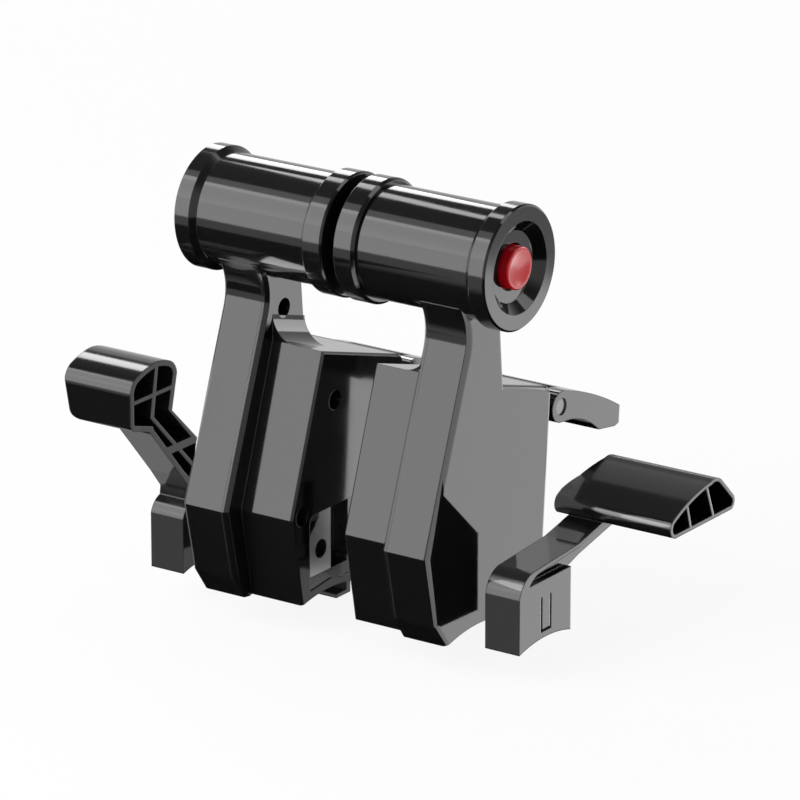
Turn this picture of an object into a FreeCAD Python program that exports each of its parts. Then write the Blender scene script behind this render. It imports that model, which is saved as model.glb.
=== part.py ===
import FreeCAD, Part
import math
import os
import Sketcher
from FreeCAD import Placement, Rotation, Vector

# Four lever handles of a six-lever desktop power quadrant: a speed brake lever, two thrust levers
# with reverser paddles and thumb buttons, and a flaps lever. Millimetres. X runs across the
# quadrant, Y away from the user, Z up. The origin is on the centre plane, above the shaft that
# all the levers swing about. The right-hand pieces are modelled and the left ones are mirrored.

SIZES = {
    # the quadrant that the levers fit
    "pivot_depth": 58.0,
    "arch_radius": 59.6,
    "inner_stub_x": 12.5,
    "outer_stub_x": 37.5,
    "stub_thickness": 4.0,
    "stub_width": 10.0,
    "stub_y": -4.0,
    "stub_height": 20.0,
    "stub_play": 0.2,
    # walls and fits
    "wall": 2.4,
    "seam_play": 0.1,
    "running_play": 0.06,
    "outer_bevel": 1.8,
    "step_bevel": 1.2,
    "inner_bevel": 0.7,
    # thrust lever: planes across the body
    "inner_face": 9.6,
    "step_face": 28.6,
    "plate_thickness": 2.0,
    "outer_face": 45.4,
    # thrust lever: side outline of the outer column and arm
    "toe_y": -16.5,
    "kink_y": -22.0,
    "kink_z": 7.0,
    "bend_y": -27.0,
    "bend_z": 30.0,
    "arm_front_slope": 0.366,
    "arm_front_blend": 16.0,
    "arm_rear_y": 14.4,
    "arm_rear_slope": -0.084,
    "arm_rear_blend": 5.0,
    "top_front_z": 78.8,
    "top_fall": 0.2922,
    "rear_top_y": 40.4,
    "rear_corner": 3.4,
    "rear_foot_y": 34.9,
    # thrust lever: side outline of the inner column
    "inner_toe_y": -14.0,
    "inner_bend_y": -19.4,
    "inner_bend_z": 29.0,
    "inner_top_y": -2.4,
    "cove_radius": 8.5,
    # grip
    "grip_y": 4.9,
    "grip_z": 115.3,
    "barrel_radius": 17.6,
    "barrel_wall": 2.4,
    "flange_rise": 1.8,
    "grip_gap": 4.2,
    "inner_flange_width": 7.6,
    "outer_flange_width": 7.5,
    "grip_end": 56.9,
    "inner_ring_chamfer": 0.9,
    "rim_bevel": 0.6,
    "spigot_length": 5.0,
    "spigot_wall": 1.8,
    "cap_wall": 2.4,
    "funnel_rim": 5.1,
    "funnel_slant": 3.3,
    "funnel_depth": 3.0,
    "funnel_floor": 2.0,
    # thumb button
    "button_radius": 6.7,
    "button_hole_play": 0.6,
    "button_dish": 0.6,
    "button_rim": 1.3,
    "button_flange_radius": 8.6,
    "button_flange": 1.2,
    "button_stem_radius": 1.8,
    "button_stem_length": 3.4,
    "button_travel": 2.5,
    "seat_play": 0.1,
    "button_wire": 0.5,
    "button_spring_radius": 5.4,
    "button_spring_turns": 4.0,
    "switch_side": 6.0,
    "switch_height": 3.5,
    "plunger_radius": 1.75,
    "plunger_height": 1.0,
    "cup_floor": 2.0,
    # screws that hold the two shells together
    "screw_radius": 1.5,
    "screw_head_height": 1.5,
    "screw_mouth_radius": 3.1,
    "screw_mouth_depth": 6.0,
    "screw_boss_radius": 4.0,
    "screw_bite": 8.0,
    "screw_play": 0.25,
    "arm_screw_y": 3.65,
    "arm_screw_z": 87.6,
    "top_screw_y": 3.6,
    "top_screw_z": 61.6,
    "front_screw_y": -14.0,
    "front_screw_z": 28.9,
    # window in the inner column, the stub clip behind it and the stub carrier
    "window_front_y": -9.95,
    "window_rear_y": 19.0,
    "window_top_z": 27.8,
    "window_sill_z": 4.6,
    "window_corner": 2.6,
    "clip_recess": 0.3,
    "clip_thickness": 0.6,
    "clip_rear_y": 1.4,
    "clip_bottom_z": 7.8,
    "clip_chamfer": 5.4,
    "clip_hole_radius": 3.0,
    "clip_hole_y": -3.8,
    "clip_hole_z": 15.6,
    "carrier_front_y": -12.0,
    "carrier_rear_y": 14.5,
    "carrier_floor_z": 5.2,
    "carrier_top_z": 31.0,
    "hook_front_y": 4.8,
    "hook_rear_y": 12.3,
    "hook_inner_x": 10.0,
    "hook_width": 7.0,
    "hook_foot_z": -3.4,
    "hook_foot": 1.2,
    "hook_stem": 2.0,
    # lead from the button's switch to the contact board
    "lead_radius": 0.8,
    "lead_x": 35.0,
    "lead_y": 9.2,
    "lead_bend": 2.4,
    "board_thickness": 1.2,
    # reverser paddle
    "reverser_y": 48.0,
    "reverser_z": 57.3,
    "paddle_inset": 1.5,
    "paddle_lobe": 5.0,
    "paddle_tip_y": 80.9,
    "paddle_tip_z": 48.8,
    "paddle_nose_y": 78.3,
    "paddle_nose_z": 42.6,
    "paddle_heel_y": 69.1,
    "paddle_heel_z": 44.0,
    "scallop_radius": 32.0,
    "paddle_back_radius": 130.0,
    "ear_width": 5.4,
    "ear_depth": 6.6,
    "lug_width": 3.0,
    "lug_radius": 4.0,
    "lug_span": 17.6,
    "pin_radius": 1.5,
    "pin_head_radius": 2.6,
    "pin_head": 1.4,
    "pin_recess": 0.5,
    "bracket_height": 10.8,
    "bracket_flange": 1.6,
    "return_wire": 0.8,
    "return_radius": 2.9,
    "return_turns": 5.0,
    # side levers: block on the stub
    "side_lever_x": 62.5,
    "block_width": 12.4,
    "block_front_y": -12.0,
    "block_rear_y": 15.9,
    "block_arch_rise": 2.0,
    "block_stub_y": 2.4,
    "tab_width": 5.7,
    "tab_top_z": 15.0,
    "tab_bottom_z": 3.9,
    "tab_slit": 0.8,
    "tab_wall": 1.8,
    "tab_relief": 1.2,
    # speed brake lever
    "brake_shoulder_z": 17.8,
    "brake_neck_z": 22.5,
    "brake_waist_y": -7.3,
    "brake_waist_z": 25.3,
    "brake_arm_top_z": 55.2,
    "brake_knob_front_y": -38.0,
    "brake_knob_rear_y": -14.1,
    "brake_knob_low_z": 50.4,
    "brake_knob_top_z": 72.8,
    "brake_crest_y": -24.5,
    "brake_crown_radius": 30.0,
    "brake_knob_far": 81.5,
    "brake_wall": 1.8,
    "brake_rib": 1.3,
    "brake_arm_depth": 10.4,
    "brake_knob_depth": 21.0,
    "brake_rib_z": 62.5,
    "brake_cross_z": 41.0,
    "brake_cross_rib": 2.6,
    # flaps lever
    "flaps_shoulder_z": 20.4,
    "flaps_knee_y": 20.4,
    "flaps_knee_z": 26.3,
    "flaps_sole_z": 29.0,
    "flaps_knob_front_y": 33.0,
    "flaps_knob_rear_y": 67.6,
    "flaps_crest_y": 57.6,
    "flaps_crest_z": 41.5,
    "flaps_knob_near": 52.4,
    "flaps_knob_skew": 5.2,
    "flaps_knob_far": 94.3,
    "flaps_wall": 1.2,
    "flaps_rib": 1.1,
    "flaps_knob_depth": 36.0,
    "flaps_arm_flange": 1.2,
    "flaps_arm_recess": 2.4,
}

doc = FreeCAD.newDocument("quadrant_levers")
sheet = doc.addObject("Spreadsheet::Sheet", "Size")


class Dim:
    """A size: its present value, and the spreadsheet expression that gives it."""

    def __init__(self, value, text):
        self.value = value
        self.text = text

    def __add__(self, other):
        other = dim(other)
        return Dim(self.value + other.value, f"({self.text} + {other.text})")

    def __sub__(self, other):
        other = dim(other)
        return Dim(self.value - other.value, f"({self.text} - {other.text})")

    def __mul__(self, other):
        other = dim(other)
        return Dim(self.value * other.value, f"({self.text} * {other.text})")

    def __truediv__(self, other):
        other = dim(other)
        return Dim(self.value / other.value, f"({self.text} / {other.text})")

    def __neg__(self):
        return Dim(-self.value, f"(0 - {self.text})")

    def __radd__(self, other):
        return dim(other) + self

    def __rsub__(self, other):
        return dim(other) - self

    def __rmul__(self, other):
        return dim(other) * self


def dim(number):
    """A plain number as a Dim; a Dim stays as it is."""
    if isinstance(number, Dim):
        return number
    return Dim(float(number), f"({number})")


def root(square):
    return Dim(math.sqrt(square.value), f"sqrt({square.text})")


class Sizes:
    pass


S = Sizes()
for row, (name, value) in enumerate(SIZES.items(), start=1):
    sheet.set(f"A{row}", name)
    sheet.set(f"B{row}", str(value))
    sheet.setAlias(f"B{row}", name)
    setattr(S, name, Dim(value, f"Size.{name}"))
doc.recompute()

# ---------------------------------------------------------------- drawing tools


def bind(thing, prop, size):
    """Tie one property of an object to the sheet."""
    thing.setExpression(prop, dim(size).text)


def place(thing, x, y, z):
    bind(thing, "Placement.Base.x", x)
    bind(thing, "Placement.Base.y", y)
    bind(thing, "Placement.Base.z", z)


def draw(sketch, steps):
    """Closed profile. A step (u, v) is a straight side to that point; a step
    (u, v, radius, side) is an arc to it, bulging left of the way (+1) or right (-1)."""
    corners = [Vector(dim(s[0]).value, dim(s[1]).value, 0) for s in steps]
    ends = []
    for i, step in enumerate(steps):
        here = corners[i - 1]
        there = corners[i]
        if len(step) == 2:
            sketch.addGeometry(Part.LineSegment(here, there), False)
            ends.append((1, 2))
            continue
        radius, side = dim(step[2]).value, step[3]
        chord = there - here
        left = Vector(-chord.y, chord.x, 0).normalize()
        rise = math.sqrt(max(radius**2 - chord.Length**2 / 4, 1e-9))
        centre = (here + there) * 0.5 - left * rise * side
        first, last = (there, here) if side > 0 else (here, there)
        start = math.atan2(first.y - centre.y, first.x - centre.x)
        stop = math.atan2(last.y - centre.y, last.x - centre.x)
        circle = Part.Circle(centre, Vector(0, 0, 1), radius)
        sketch.addGeometry(Part.ArcOfCircle(circle, start, stop), False)
        ends.append((2, 1) if side > 0 else (1, 2))
    count = len(steps)
    for i in range(count):
        after = (i + 1) % count
        sketch.addConstraint(
            Sketcher.Constraint("Coincident", i, ends[i][1], after, ends[after][0])
        )
    for i, step in enumerate(steps):
        for axis, size in (("DistanceX", step[0]), ("DistanceY", step[1])):
            size = dim(size)
            fixed = sketch.addConstraint(
                Sketcher.Constraint(axis, -1, 1, i, ends[i][1], size.value)
            )
            sketch.setExpression(f"Constraints[{fixed}]", size.text)
        if len(step) > 2:
            fixed = sketch.addConstraint(Sketcher.Constraint("Radius", i, dim(step[2]).value))
            sketch.setExpression(f"Constraints[{fixed}]", dim(step[2]).text)


ACROSS = Rotation(Vector(0, 1, 0), Vector(0, 0, 1), Vector(1, 0, 0), "XYZ")
ALONG_X = Rotation(Vector(0, 1, 0), 90)


def side_sketch(name, x, steps):
    """Profile in a YZ plane at x; its steps are (y, z, ...)."""
    sketch = doc.addObject("Sketcher::SketchObject", name)
    sketch.Placement = Placement(Vector(), ACROSS)
    bind(sketch, "Placement.Base.x", x)
    draw(sketch, steps)
    return sketch


def extrude(name, profile, length):
    """Solid from a YZ profile, along +X."""
    solid = doc.addObject("Part::Extrusion", name)
    solid.Base = profile
    solid.DirMode = "Custom"
    solid.Dir = Vector(1, 0, 0)
    solid.Solid = True
    bind(solid, "LengthFwd", length)
    return solid


def prism(name, near, far, steps):
    return extrude(name, side_sketch(name + "_side", near, steps), dim(far) - near)


def flat_prism(name, rotation, direction, prop, near, far, steps):
    sketch = doc.addObject("Sketcher::SketchObject", name + "_plane")
    sketch.Placement = Placement(Vector(), rotation)
    bind(sketch, prop, near)
    draw(sketch, steps)
    solid = extrude(name, sketch, dim(far) - near)
    solid.Dir = direction
    return solid


def front_prism(name, near, far, steps):
    """Front view (x, z) run from y = near to y = far."""
    facing = Rotation(Vector(1, 0, 0), Vector(0, 0, 1), Vector(0, -1, 0), "XYZ")
    return flat_prism(name, facing, Vector(0, 1, 0), "Placement.Base.y", near, far, steps)


def plan_prism(name, near, far, steps):
    """Plan view (x, y) run from z = near to z = far."""
    flat = Rotation()
    return flat_prism(name, flat, Vector(0, 0, 1), "Placement.Base.z", near, far, steps)


def inset_prism(name, near, far, steps, inset):
    """Like prism, with its outline drawn in by inset."""
    sketch = side_sketch(name + "_side", near, steps)
    drawn_in = doc.addObject("Part::Offset2D", name + "_inset")
    drawn_in.Source = sketch
    drawn_in.Join = 0
    bind(drawn_in, "Value", -dim(inset))
    return extrude(name, drawn_in, dim(far) - near)


def box(name, low, high):
    solid = doc.addObject("Part::Box", name)
    for prop, a, b in zip(("Length", "Width", "Height"), low, high):
        bind(solid, prop, dim(b) - a)
    place(solid, *low)
    return solid


def rod(name, near, far, y, z, radius):
    """Cylinder along X."""
    solid = doc.addObject("Part::Cylinder", name)
    solid.Placement = Placement(Vector(), ALONG_X)
    bind(solid, "Radius", radius)
    bind(solid, "Height", dim(far) - near)
    place(solid, near, y, z)
    return solid


def cone(name, near, far, y, z, near_radius, far_radius):
    solid = doc.addObject("Part::Cone", name)
    solid.Placement = Placement(Vector(), ALONG_X)
    bind(solid, "Radius1", near_radius)
    bind(solid, "Radius2", far_radius)
    bind(solid, "Height", dim(far) - near)
    place(solid, near, y, z)
    return solid


def fuse(name, *shapes):
    joined = doc.addObject("Part::MultiFuse", name)
    joined.Shapes = list(shapes)
    joined.Refine = True
    return joined


def common(name, *shapes):
    shared = doc.addObject("Part::MultiCommon", name)
    shared.Shapes = list(shapes)
    return shared


def cut(name, base, *tools):
    tool = tools[0] if len(tools) == 1 else fuse(name + "_tools", *tools)
    left = doc.addObject("Part::Cut", name)
    left.Base = base
    left.Tool = tool
    left.Refine = True
    return left


def edged(name, kind, base, size, wanted):
    """Part::Chamfer or Part::Fillet on the edges of base that wanted() accepts."""
    doc.recompute()
    dressed = doc.addObject(kind, name)
    dressed.Base = base
    dressed.Edges = [
        (i, size.value, size.value)
        for i, edge in enumerate(base.Shape.Edges, start=1)
        if wanted(edge)
    ]
    return dressed


def turned(name, y, z, steps):
    """Body turned about a line along X at (y, z); its steps are (x, radius, ...)."""
    body = doc.addObject("PartDesign::Body", name)
    sketch = body.newObject("Sketcher::SketchObject", name + "_profile")
    plane = next(f for f in body.Origin.OriginFeatures if f.Role == "XY_Plane")
    sketch.AttachmentSupport = (plane, [""])
    sketch.MapMode = "FlatFace"
    draw(sketch, steps)
    turn = body.newObject("PartDesign::Revolution", name + "_turn")
    turn.Profile = sketch
    turn.ReferenceAxis = (sketch, ["H_Axis"])
    turn.Angle = 360
    place(body, 0, y, z)
    return body


def coil(pitch, turns, radius, wire):
    """Round wire wound about +Z, from z = 0."""
    spine = Part.Wire(Part.makeHelix(pitch, pitch * turns, radius).Edges)
    section = Part.Wire(Part.makeCircle(wire / 2, Vector(radius, 0, 0), Vector(0, 1, 0)))
    return spine.makePipeShell([section], True, True)


def lies_on(edge, x):
    """True for an edge in the plane at x."""
    return all(abs(v.X - x.value) < 0.01 for v in edge.Vertexes) and len(edge.Vertexes) == 2


NODES = {}


def node(label, thing):
    thing.Label = label
    NODES[label] = thing
    return thing


def pair(name, right):
    """The right-hand piece and its mirror image on the left."""
    node("right_" + name, right)
    left = doc.addObject("Part::Mirroring", "left_" + name)
    left.Source = right
    left.Normal = Vector(1, 0, 0)
    node("left_" + name, left)


# ---------------------------------------------------------------- shared outlines


def arch_z(y, radius):
    """Height of the arch about the lever shaft."""
    return root(radius * radius - dim(y) * y) - S.pivot_depth


def blend(line_y, line_z, slope, radius, side):
    """Fillet between a straight edge y = line_y + slope * (z - line_z) and the barrel.
    Returns the points where it leaves the edge and where it meets the barrel."""
    barrel = S.barrel_radius - S.seam_play
    length = root(1 + slope * slope)
    across = (S.grip_y - line_y - slope * (S.grip_z - line_z)) / length * -side
    run = root((barrel + radius) * (barrel + radius) - (radius - across) * (radius - across))
    along = (slope * (S.grip_y - line_y) + (S.grip_z - line_z)) / length - run
    start_y = line_y + slope * along / length
    start_z = line_z + along / length
    centre_y = start_y + side * radius / length
    centre_z = start_z - side * radius * slope / length
    share = barrel / (barrel + radius)
    stop_y = S.grip_y + (centre_y - S.grip_y) * share
    stop_z = S.grip_z + (centre_z - S.grip_z) * share
    return (start_y, start_z), (stop_y, stop_z)


def top_z(y):
    """Height of the sloping top of the body."""
    return S.top_front_z - (dim(y) - S.inner_top_y) * S.top_fall


rear_lean = (S.rear_top_y - S.rear_foot_y) / (S.top_front_z - 5)
rear_corner_z = top_z(S.rear_top_y) - S.rear_corner * 0.75
rear_steps = [
    (S.rear_top_y - S.rear_corner, top_z(S.rear_top_y - S.rear_corner)),
    (S.rear_top_y, rear_corner_z, S.rear_corner, 1),
    (S.rear_foot_y, arch_z(S.rear_foot_y, S.arch_radius)),
]


def outer_outline():
    """Side view of the outer column with its arm, clockwise from the toe."""
    leave, meet = blend(S.bend_y, S.bend_z, S.arm_front_slope, S.arm_front_blend, -1)
    back, rise = blend(S.arm_rear_y, top_z(S.arm_rear_y), S.arm_rear_slope, S.arm_rear_blend, 1)
    return [
        (S.toe_y, arch_z(S.toe_y, S.arch_radius), S.arch_radius, -1),
        (S.kink_y, S.kink_z),
        (S.bend_y, S.bend_z),
        leave,
        (meet[0], meet[1], S.arm_front_blend, -1),
        (meet[0] + S.barrel_wall, S.grip_z),
        (rise[0] - S.barrel_wall, S.grip_z),
        rise,
        (back[0], back[1], S.arm_rear_blend, -1),
        (S.arm_rear_y, top_z(S.arm_rear_y)),
    ] + rear_steps


def inner_outline():
    """Side view of the inner column, clockwise from the toe."""
    return [
        (S.inner_toe_y, arch_z(S.inner_toe_y, S.arch_radius), S.arch_radius, -1),
        (S.inner_bend_y, S.inner_bend_z),
        (S.inner_top_y, S.top_front_z),
    ] + rear_steps


seam = S.step_face + S.plate_thickness
arm_tube_end = S.step_face + S.screw_mouth_depth
SCREWS = {  # place, face that the screw goes in from, and where the inner shell's tube ends
    "arm_screw": (S.arm_screw_y, S.arm_screw_z, S.step_face, arm_tube_end),
    "top_screw": (S.top_screw_y, S.top_screw_z, S.inner_face, seam),
    "front_screw": (S.front_screw_y, S.front_screw_z, S.inner_face, seam),
}
screw_reach = S.screw_bite + S.screw_play
bore_radius = S.barrel_radius - S.barrel_wall
arch_top = S.arch_radius - S.pivot_depth + 0.1
neck_top = S.grip_z - S.barrel_radius / 2
barrel_near = S.grip_gap / 2 + S.inner_flange_width
barrel_far = S.grip_end - S.outer_flange_width


def bracket_hole(name):
    """Opening in the rear walls that the reverser bracket passes through."""
    half = S.bracket_height / 2 + S.seam_play
    return box(
        name,
        (bracket_near - S.seam_play, S.rear_foot_y - S.wall, S.reverser_z - S.lug_radius * 0.3 - half),
        (bracket_far + S.seam_play, S.reverser_y, S.reverser_z - S.lug_radius * 0.3 + half),
    )


body_middle = (S.inner_face + S.outer_face) / 2
bracket_near = body_middle - S.lug_span / 2
bracket_far = body_middle + S.lug_span / 2


def stub_slot(name, x, low, high, play):
    """Space for one blade-like stub of the quadrant."""
    half_x = S.stub_thickness / 2 + play
    half_y = S.stub_width / 2 + play
    return box(name, (x - half_x, S.stub_y - half_y, low), (x + half_x, S.stub_y + half_y, high))


# ---------------------------------------------------------------- thrust lever shells


def outer_shell():
    block = prism("outer_block", seam, S.outer_face, outer_outline())
    bevelled = edged(
        "outer_block_bevelled",
        "Part::Fillet",
        block,
        S.outer_bevel,
        lambda e: lies_on(e, S.outer_face) and arch_top.value < e.BoundBox.ZMax < neck_top.value,
    )
    barrel = rod("barrel", barrel_near, barrel_far, S.grip_y, S.grip_z, S.barrel_radius)
    cavity = inset_prism("outer_cavity", seam, S.outer_face - S.wall, outer_outline(), S.wall)
    keep_out = rod("barrel_keep_out", seam, S.outer_face, S.grip_y, S.grip_z, S.barrel_radius)
    hollow = cut("outer_hollow", cavity, keep_out)
    bore = rod("barrel_bore", barrel_near, barrel_far, S.grip_y, S.grip_z, bore_radius)
    lead_hole = box(
        "lead_hole",
        (S.lead_x - 2 * S.lead_radius, S.lead_y - 2 * S.lead_radius, S.grip_z - S.barrel_radius - 2),
        (S.lead_x + 2 * S.lead_radius, S.lead_y + 2 * S.lead_radius, S.grip_z - bore_radius / 2),
    )
    shell = cut("outer_tray", fuse("outer_mass", bevelled, barrel), hollow, bore, lead_hole)
    bosses = [
        rod(name + "_boss", tube_end, S.outer_face - S.wall / 2, y, z, S.screw_boss_radius)
        for name, (y, z, face, tube_end) in SCREWS.items()
    ]
    pilots = [
        rod(name + "_pilot", tube_end, tube_end + screw_reach, y, z, S.screw_radius + 0.02)
        for name, (y, z, face, tube_end) in SCREWS.items()
    ]
    slot = stub_slot("outer_floor_slot", S.outer_stub_x, -S.pivot_depth / 4, 8, 2 * S.stub_play)
    filled = fuse("outer_tray_with_bosses", shell, *bosses)
    return cut("outer_shell", filled, slot, bracket_hole("outer_bracket_hole"), *pilots)


def inner_shell():
    plate = prism("inner_plate", S.step_face, seam, outer_outline())
    arm_front = edged(
        "inner_plate_bevelled",
        "Part::Chamfer",
        plate,
        S.step_bevel,
        lambda e: lies_on(e, S.step_face)
        and arch_top.value < e.BoundBox.ZMax < neck_top.value
        and e.BoundBox.YMax < 0,
    )
    column = prism("inner_column", S.inner_face, S.step_face, inner_outline())
    crisp = edged(
        "inner_column_bevelled",
        "Part::Chamfer",
        column,
        S.inner_bevel,
        lambda e: lies_on(e, S.inner_face) and e.BoundBox.ZMax > arch_top.value,
    )
    cove = cove_strip()
    mass = fuse("inner_mass", arm_front, crisp, cove)
    hollow = inset_prism("inner_cavity", S.inner_face + S.wall, seam, inner_outline(), S.wall)
    bosses = [
        rod(name + "_tube", face + 0.5, tube_end, y, z, S.screw_boss_radius)
        for name, (y, z, face, tube_end) in SCREWS.items()
    ]
    shell = fuse("inner_tray", cut("inner_tray_shell", mass, hollow), *bosses)
    grip_room = rod(
        "grip_room", S.step_face - 1, seam, S.grip_y, S.grip_z, S.barrel_radius + S.seam_play
    )
    tools = [grip_room, window_cut(), bracket_hole("inner_bracket_hole")]
    tools.append(stub_slot("inner_floor_slot", S.inner_stub_x, -S.pivot_depth / 4, 8, 2 * S.stub_play))
    tools.append(
        box(
            "hook_slot",
            (S.hook_inner_x, S.hook_rear_y - S.hook_stem - 2 * S.stub_play, S.hook_foot_z),
            (S.hook_inner_x + S.hook_width + 2 * S.stub_play, S.hook_rear_y + 2 * S.stub_play, 8),
        )
    )
    for name, (y, z, face, tube_end) in SCREWS.items():
        neck = S.screw_radius + S.screw_play
        sink_end = face + S.screw_mouth_depth
        tools.append(cone(name + "_sink", face, sink_end, y, z, S.screw_mouth_radius, neck))
        tools.append(rod(name + "_way", face, tube_end, y, z, neck))
    return cut("inner_shell", shell, *tools)


def cove_strip():
    """Concave fillet from the arm's flat inner side down to the top of the inner column."""
    rise = S.cove_radius
    low_front = (S.inner_top_y, S.top_front_z)
    low_rear = (S.arm_rear_y, top_z(S.arm_rear_y))
    block = prism(
        "cove_block",
        S.step_face - S.cove_radius,
        S.step_face,
        [
            (low_rear[0], low_rear[1] - 1),
            (low_front[0], low_front[1] - 1),
            (low_front[0], low_front[1] + rise),
            (low_rear[0], low_rear[1] + rise),
        ],
    )
    scoop = doc.addObject("Part::Cylinder", "cove_scoop")
    tilt = -math.degrees(math.atan(S.top_fall.value))
    scoop.Placement = Placement(
        Vector(), Rotation(Vector(1, 0, 0), tilt) * Rotation(Vector(1, 0, 0), -90)
    )
    bind(scoop, "Radius", S.cove_radius)
    bind(scoop, "Height", 60)
    lift = S.cove_radius * root(1 + S.top_fall * S.top_fall)
    start_y = S.inner_top_y - 20
    place(scoop, S.step_face - S.cove_radius, start_y, top_z(start_y) + lift)
    return cut("cove", block, scoop)


def window_cut():
    """Opening in the inner face, above an arched sill."""
    corner = S.window_corner
    return prism(
        "window",
        S.inner_face - 1,
        S.inner_face + S.wall + 0.2,
        [
            (S.window_front_y, S.window_sill_z - 1.2),
            (S.window_front_y, S.window_top_z - corner),
            (S.window_front_y + corner, S.window_top_z, corner, 1),
            (S.window_rear_y, S.window_top_z),
            (S.window_rear_y, S.window_sill_z - 2.6),
            (S.clip_rear_y, S.window_sill_z),
        ],
    )


pair("outer_shell", outer_shell())
pair("inner_shell", inner_shell())

# ---------------------------------------------------------------- grip ends and thumb button

flange_radius = S.barrel_radius + S.flange_rise
funnel_mouth_radius = flange_radius - S.funnel_rim
funnel_floor_radius = funnel_mouth_radius - S.funnel_slant
spigot_radius = bore_radius - S.running_play
spigot_bore = spigot_radius - S.spigot_wall
cap_near = S.grip_gap / 2
funnel_floor_x = S.grip_end - S.funnel_depth
bezel_back = funnel_floor_x - S.funnel_floor
button_hole = S.button_radius + S.button_hole_play
button_shoulder = bezel_back - S.seat_play
button_back = button_shoulder - S.button_flange
stem_end = button_back - S.button_stem_length
cup_face = stem_end - S.button_travel - S.seat_play - S.plunger_height - S.switch_height

pair(
    "grip_bezel",
    turned(
        "bezel",
        S.grip_y,
        S.grip_z,
        [
            (barrel_far - S.spigot_length, spigot_bore),
            (barrel_far - S.spigot_length, spigot_radius),
            (barrel_far, spigot_radius),
            (barrel_far, S.barrel_radius),
            (barrel_far + S.flange_rise, flange_radius),
            (S.grip_end - S.rim_bevel, flange_radius),
            (S.grip_end, flange_radius - S.rim_bevel),
            (S.grip_end, funnel_mouth_radius),
            (funnel_floor_x, funnel_floor_radius),
            (funnel_floor_x, button_hole),
            (bezel_back, button_hole),
            (bezel_back, spigot_bore),
        ],
    ),
)
pair(
    "grip_cap",
    turned(
        "cap",
        S.grip_y,
        S.grip_z,
        [
            (cap_near, 0),
            (cap_near, flange_radius - S.rim_bevel),
            (cap_near + S.rim_bevel, flange_radius),
            (barrel_near - S.inner_ring_chamfer, flange_radius),
            (barrel_near, flange_radius - S.inner_ring_chamfer),
            (barrel_near, spigot_radius),
            (barrel_near + S.spigot_length, spigot_radius),
            (barrel_near + S.spigot_length, spigot_bore),
            (cap_near + S.cap_wall, spigot_bore),
            (cap_near + S.cap_wall, 0),
        ],
    ),
)
dish_rim = S.button_radius - S.button_rim
dish_radius = (dish_rim * dish_rim + S.button_dish * S.button_dish) / (S.button_dish * 2)
pair(
    "button",
    turned(
        "button",
        S.grip_y,
        S.grip_z,
        [
            (stem_end, 0),
            (stem_end, S.button_stem_radius),
            (button_back, S.button_stem_radius),
            (button_back, S.button_flange_radius),
            (button_shoulder, S.button_flange_radius),
            (button_shoulder, S.button_radius),
            (S.grip_end - S.button_dish, S.button_radius),
            (S.grip_end, S.button_radius - S.button_dish, S.button_dish, 1),
            (S.grip_end, dish_rim),
            (S.grip_end - S.button_dish, 0, dish_radius, -1),
        ],
    ),
)
pair(
    "switch_cup",
    turned(
        "switch_cup",
        S.grip_y,
        S.grip_z,
        [
            (cup_face - S.cup_floor, 0),
            (cup_face - S.cup_floor, spigot_radius),
            (barrel_far - S.spigot_length - S.seat_play, spigot_radius),
            (barrel_far - S.spigot_length - S.seat_play, spigot_bore),
            (cup_face, spigot_bore),
            (cup_face, 0),
        ],
    ),
)


def switch():
    half = S.switch_side / 2
    case = box(
        "switch_case",
        (cup_face, S.grip_y - half, S.grip_z - half),
        (cup_face + S.switch_height, S.grip_y + half, S.grip_z + half),
    )
    top = cup_face + S.switch_height
    plunger = rod("plunger", top, top + S.plunger_height, S.grip_y, S.grip_z, S.plunger_radius)
    return fuse("button_switch", case, plunger)


pair("button_switch", switch())


def wound(name, near, far, y, z, radius, wire, turns):
    """Coil along X that just fits between two faces."""
    spring = doc.addObject("Part::Feature", name)
    free = far.value - near.value - wire.value - 2 * S.seat_play.value
    spring.Shape = coil(free / turns.value, turns.value, radius.value, wire.value)
    start = near.value + wire.value / 2 + S.seat_play.value
    spring.Placement = Placement(Vector(start, y.value, z.value), ALONG_X)
    return spring


pair(
    "button_spring",
    wound(
        "button_coil",
        cup_face,
        button_back,
        S.grip_y,
        S.grip_z,
        S.button_spring_radius,
        S.button_wire,
        S.button_spring_turns,
    ),
)

# ---------------------------------------------------------------- screws


def shell_screws():
    screws = []
    for name, (y, z, face, tube_end) in SCREWS.items():
        neck_end = face + S.screw_mouth_depth
        head = neck_end - S.screw_head_height
        tip = tube_end + S.screw_bite
        steps = [(head, 0), (head, screw_rim), (neck_end, S.screw_radius), (tip, S.screw_radius), (tip, 0)]
        screws.append(turned(name, y, z, steps))
    group = doc.addObject("Part::Compound", "screws")
    group.Links = screws
    return group


sink_slope = (S.screw_mouth_radius - S.screw_radius - S.screw_play) / S.screw_mouth_depth
screw_rim = S.screw_radius + S.screw_play + sink_slope * S.screw_head_height - S.seam_play
pair("shell_screws", shell_screws())

# ---------------------------------------------------------------- stub carrier and its clip

clip_near = S.inner_face + S.clip_recess
clip_far = clip_near + S.clip_thickness


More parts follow.
